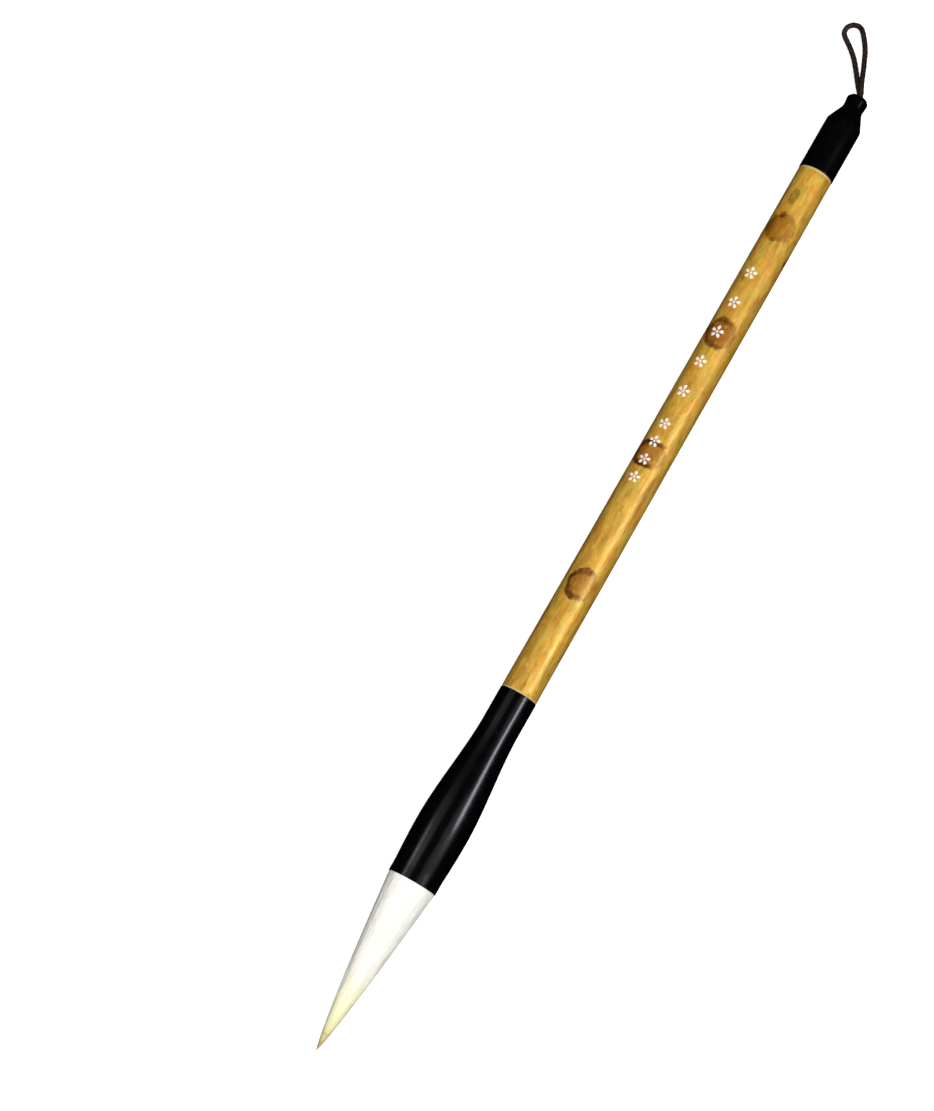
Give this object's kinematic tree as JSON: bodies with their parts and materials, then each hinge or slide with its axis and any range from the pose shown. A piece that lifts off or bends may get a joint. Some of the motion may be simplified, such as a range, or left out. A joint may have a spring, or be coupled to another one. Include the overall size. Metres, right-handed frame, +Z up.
{
  "type": "calligraphy brush",
  "caption": "Calligraphy brush lying flat: starched hair tuft, bulb-shaped glossy black ferrule, mottled bamboo handle and knobbed tail cap with a cord loop to hang it by.",
  "frame": {"origin": "on the table under the middle of the brush, from the tip of the hair to the end of the tail cap, the hanging loop left out", "axes": "+X from the tip of the hair to the tail cap, +Z up; the brush lies on the belly of its ferrule and the edge of its tail cap, so its axis slopes down 0.58 degrees towards the tail"},
  "size_m": [0.2783, 0.0185, 0.0128],
  "materials": {
    "bamboo": "varnished, mottled yellow bamboo with brown stains",
    "black_lacquer": "polished black",
    "white_paint": "flat white paint in shallow cuts",
    "weasel_hair": "stiff tan hair",
    "goat_hair": "starched white hair",
    "red_thread": "twisted thread",
    "white_thread": "twisted thread",
    "rosin": "hardened rosin",
    "glue": "dried glue",
    "waxed_cord": "dark brown waxed cord"
  },
  "bodies": {
    "brush": {"bamboo_handle": "bamboo", "ferrule": "black_lacquer", "tail_cap": "black_lacquer", "painted_blossoms": "white_paint", "core_hair_root": "weasel_hair", "padding_hair": "goat_hair", "mantle_hair_root": "goat_hair", "core_thread": "red_thread", "root_thread": "white_thread", "root_rosin": "rosin", "cup_glue": "glue", "ferrule_joint_glue": "glue", "cap_joint_glue": "glue"},
    "tuft_front": {"core_hair_tip": "weasel_hair", "mantle_hair_tip": "goat_hair"},
    "cord_end": {"cord_knot": "waxed_cord"},
    "loop": {"hanging_loop": "waxed_cord"}
  },
  "joints": [
    {"name": "tuft_flex", "type": "hinge", "parent": "brush", "child": "tuft_front", "pos_m": [-0.09879, 0, 0.00668], "axis": [0.0101, 0, 0.9999], "range_deg": [-45, 45], "stiffness_Nm_per_rad": 0.01},
    {"name": "loop_swivel", "type": "hinge", "parent": "brush", "child": "cord_end", "pos_m": [0.12999, 0, 0.00438], "axis": [0.9999, 0, -0.0101], "continuous": true},
    {"name": "loop_swing", "type": "hinge", "parent": "cord_end", "child": "loop", "pos_m": [0.13074, 0, 0.00437], "axis": [0.0101, 0, 0.9999], "range_deg": [-75, 50]}
  ]
}
